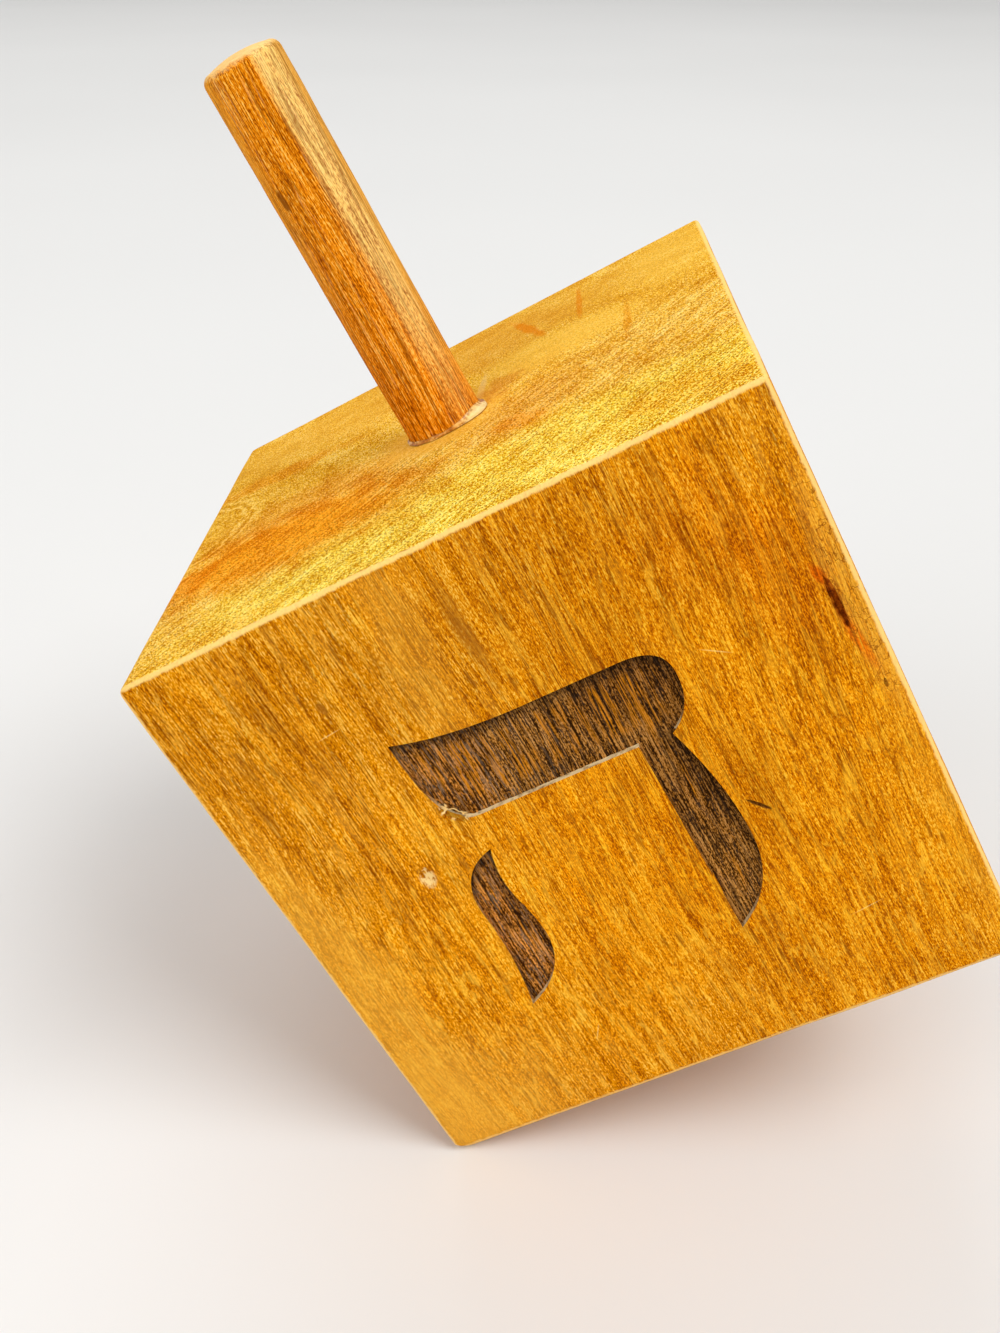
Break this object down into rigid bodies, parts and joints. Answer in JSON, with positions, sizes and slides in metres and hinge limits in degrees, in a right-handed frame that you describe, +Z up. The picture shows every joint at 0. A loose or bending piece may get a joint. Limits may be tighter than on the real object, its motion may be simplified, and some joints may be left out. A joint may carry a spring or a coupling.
{
  "type": "dreidel",
  "caption": "Wooden dreidel: a cube of hardwood with a pyramid point to spin on, a carved game letter on each side and a round handle glued into its top.",
  "frame": {"origin": "the spinning tip, where the faces of the point meet, touching the table", "axes": "+Z up from the table that the dreidel lies on, -Y out of the front letter's side, and the spinning axis leaning 28 degrees from +Z towards -X, so that one face of the point lies flat on the table"},
  "size_m": [0.1027, 0.076, 0.1297],
  "materials": {
    "block_wood": "satin varnish on golden hardwood, with the carved letters stained brown",
    "handle_wood": "satin varnish on streaked hardwood dowel",
    "dried_glue": "clear, glossy dried glue"
  },
  "bodies": {
    "root": {"block": "block_wood", "handle": "handle_wood", "glue": "dried_glue"}
  },
  "joints": []
}
